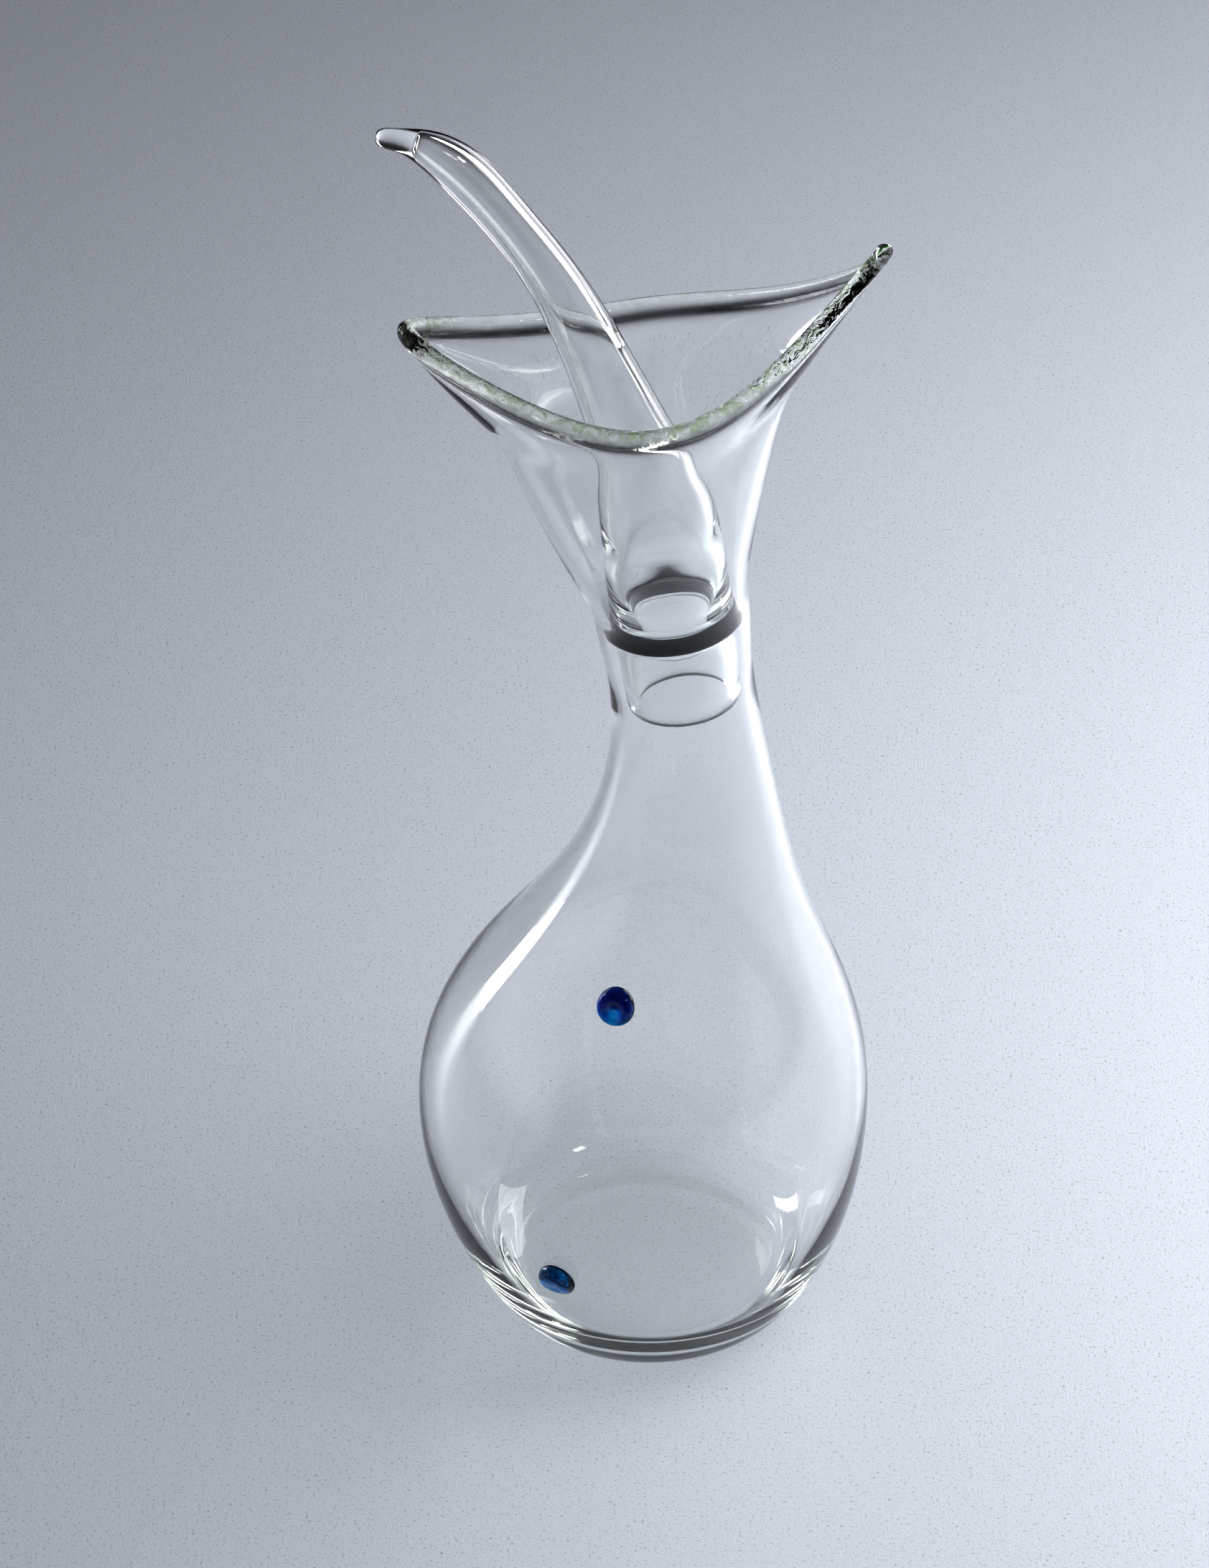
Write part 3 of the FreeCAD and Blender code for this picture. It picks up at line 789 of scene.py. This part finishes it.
link(press.outputs["Normal"], skin.inputs["Normal"])
link(skin.outputs["BSDF"], output.inputs["Surface"])

# %% [markdown]
# ## Putting the decanter together
#
# Each new piece hides the CAD node it stands for and rides on that node's body. The drops ride
# on the vessel. The ring slides out of the neck with the stopper, and the stopper also turns in
# it, so they ride on bodies of their own. Parenting by hand would do the same at rest, but the
# frame knows the joints.

# %% Give each piece its finish and its body, and hide its CAD node
for piece, material, body, node, slot in (
    (vessel, clear_glass, "vessel", "vessel", "clear_glass"),
    (stopper, clear_glass, "stopper", "stopper", "clear_glass"),
    (seal, rubber, "seal", "seal_ring", "black_rubber"),
    (upper_drop, dark_cobalt, "vessel", "upper_drop", "blue_glass"),
    (lower_drop, cobalt, "vessel", "lower_drop", "blue_glass"),
):
    piece.data.materials.clear()
    piece.data.materials.append(material)
    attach(piece, body)
    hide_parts(node)
    print(piece.name, "rides on", body)

# %% [markdown]
# ## The tabletop
#
# The decanter stands on a pale, slightly glossy, fine-grained table. A plain plane is enough,
# because its grain is far too fine to model: it is a small noise in height and a few darker
# specks.

# %% Table
TABLE_SIZE = 9.0
TABLE_DROP = 0.0003          # just under the foot, so that the two faces don't coincide
SPECK_GREY, TOP_GREY = (0.30, 0.315, 0.345, 1), (0.485, 0.51, 0.56, 1)
bpy.ops.object.select_all(action="DESELECT")
bpy.ops.mesh.primitive_plane_add(size=TABLE_SIZE, location=(0, 0, -TABLE_DROP))
table = bpy.context.object
table.name = "table"
paint, nodes, link, output = new_material("pale_table")
top = add_node(nodes, "BsdfPrincipled", {"Roughness": 0.33})
where = add_node(nodes, "TexCoord")
specks = add_node(nodes, "TexNoise", {"Scale": 1100.0, "Detail": 3.0})
pick = add_node(nodes, "MapRange", {"From Min": 0.28, "From Max": 0.42})
colour = add_node(nodes, "Mix", {"A": SPECK_GREY, "B": TOP_GREY}, data_type="RGBA")
grain = add_node(nodes, "TexNoise", {"Scale": 1500.0, "Detail": 4.0})
press = add_node(nodes, "Bump", {"Distance": 0.00013})
link(where.outputs["Object"], specks.inputs["Vector"])
link(where.outputs["Object"], grain.inputs["Vector"])
link(specks.outputs["Fac"], pick.inputs["Value"])
link(pick.outputs["Result"], colour.inputs["Factor"])
link(colour.outputs["Result"], top.inputs["Base Color"])
link(grain.outputs["Fac"], press.inputs["Height"])
link(press.outputs["Normal"], top.inputs["Normal"])
link(top.outputs["BSDF"], output.inputs["Surface"])
table.data.materials.append(paint)

# %% [markdown]
# ## Light
#
# Glass has almost no colour of its own: it shows the room. What is right for the table is too
# much for the glass, so the lamps are of two sorts. Three "paint" lamps light only matt
# surfaces and set how the table brightens to the right. Three "shine" lamps show only in
# glossy surfaces and through glass: a broad one on the right gives the long white bands and
# the table's sheen, a narrow one on the left gives the streak on the shoulder, and a small one
# gives small bright spots. A real studio can't split its light like that, so this is a choice
# made for the picture. Lamps are aimed by turning their own -Z axis at a point.

# %% Lamps


def window(name, place, aim, width, height, watts, colour, lights):
    """A rectangular softbox that faces a point and is kept to the table's paint or to shine."""
    lamp = bpy.data.lights.new(name, "AREA")
    lamp.shape = "RECTANGLE"
    lamp.size, lamp.size_y = width, height
    lamp.energy = watts
    lamp.color = colour
    holder = bpy.data.objects.new(name, lamp)
    bpy.context.scene.collection.objects.link(holder)
    holder.location = place
    holder.rotation_euler = (Vector(aim) - Vector(place)).to_track_quat("-Z", "Y").to_euler()
    holder.visible_diffuse = lights == "paint"
    holder.visible_glossy = lights == "shine"
    holder.visible_transmission = lights == "shine"
    print(name, watts, "W for", lights)


WHITE, COOL = (1.0, 1.0, 1.0), (0.97, 0.985, 1.0)
window("window_side", (0.62, 0.06, 0.55), (0, 0.05, 0.0), 0.5, 0.5, 5.6, WHITE, "paint")
window("window_right_back", (0.8, 0.6, 0.5), (0, 0, 0.1), 0.6, 0.6, 3.5, WHITE, "paint")
window("window_top", (0.35, -0.1, 1.05), (0.15, 0, 0.0), 0.5, 0.5, 4.3, WHITE, "paint")
window("sheen_right_back", (1.05, 0.95, 0.52), (0.1, 0.1, 0.05), 1.1, 0.95, 10.0, WHITE, "shine")
window("window_left_back", (-1.81, 1.12, 0.62), (0, 0, 0.15), 0.34, 1.5, 12.0, COOL, "shine")
window("window_small", (0.9, -0.5, 1.2), (0, 0, 0.1), 0.18, 0.18, 4.0, WHITE, "shine")

# %% [markdown]
# ## The room
#
# The room is dim, and a little lighter overhead, which gives the dark lines inside the rim. Far
# to the left and right, near the level of the table, it has pale side walls, which give the
# sides of the glass something pale to show. They are also seen behind it in a side view.

# %% Room
WALL_STRENGTH = 30.0
world = bpy.data.worlds.new("room")
bpy.context.scene.world = world
world.use_nodes = True
nodes, link = world.node_tree.nodes, world.node_tree.links.new
nodes.clear()
sky = add_node(nodes, "TexCoord")
split = add_node(nodes, "SeparateXYZ")
ramp = add_node(nodes, "ValToRGB")
low_end, high_end = ramp.color_ramp.elements
low_end.position, low_end.color = 0.0, (0.012, 0.0125, 0.014, 1)
high_end.position, high_end.color = 0.9, (0.06, 0.062, 0.065, 1)
ramp.color_ramp.elements.new(0.28).color = (0.02, 0.021, 0.022, 1)
air = add_node(nodes, "Background")
sky_output = add_node(nodes, "OutputWorld")
link(sky.outputs["Generated"], split.inputs["Vector"])
link(split.outputs["Z"], ramp.inputs["Fac"])
link(ramp.outputs["Color"], air.inputs["Color"])

# %% Pale side walls
beside = add_node(nodes, "Math", operation="ABSOLUTE")
wall = add_node(nodes, "MapRange", {"From Min": 0.72, "From Max": 0.92})
below = add_node(nodes, "MapRange", {"From Min": 0.38, "From Max": 0.16})
pale = add_node(nodes, "Math", operation="MULTIPLY")
wall_light = add_node(nodes, "Math", {1: WALL_STRENGTH, 2: 1.0}, operation="MULTIPLY_ADD")
link(split.outputs["X"], beside.inputs[0])
link(beside.outputs[0], wall.inputs["Value"])
link(split.outputs["Z"], below.inputs["Value"])
link(wall.outputs["Result"], pale.inputs[0])
link(below.outputs["Result"], pale.inputs[1])
link(pale.outputs[0], wall_light.inputs[0])
link(wall_light.outputs[0], air.inputs["Strength"])
link(air.outputs["Background"], sky_output.inputs["Surface"])
print("the room has", len(nodes), "nodes")

# %% [markdown]
# ## Camera
#
# The decanter is seen from the front and from well above, nearly 37 degrees down, through a
# long lens, so the bulb looks only slightly smaller than the mouth.
# Light crosses many faces of glass on its way, so it may bounce more often than usual. The
# bright specks that glass throws on the table are left out, because they render as noise.

# %% Camera
LOOK_DOWN = 36.85
lens = bpy.data.cameras.new("camera")
lens.sensor_fit = "AUTO"
lens.sensor_width = 36.0
lens.lens = 142.88
lens.clip_start = 0.05
lens.clip_end = 50.0
camera = bpy.data.objects.new("camera", lens)
scene = bpy.context.scene
scene.collection.objects.link(camera)
camera.location = (-0.012, -1.2778, 1.1229)
camera.rotation_euler = (math.radians(90 - LOOK_DOWN), 0, 0)
scene.camera = camera
print("camera looks down", LOOK_DOWN, "degrees through a", lens.lens, "mm lens")

# %% Bounces of light and contrast
scene.view_settings.view_transform = "Standard"
scene.view_settings.look = "High Contrast"
scene.cycles.max_bounces = 24
scene.cycles.transmission_bounces = 24
scene.cycles.glossy_bounces = 12
scene.cycles.transparent_max_bounces = 24
scene.cycles.caustics_refractive = False
scene.cycles.caustics_reflective = False
print("look", scene.view_settings.look, "with", scene.cycles.max_bounces, "bounces")
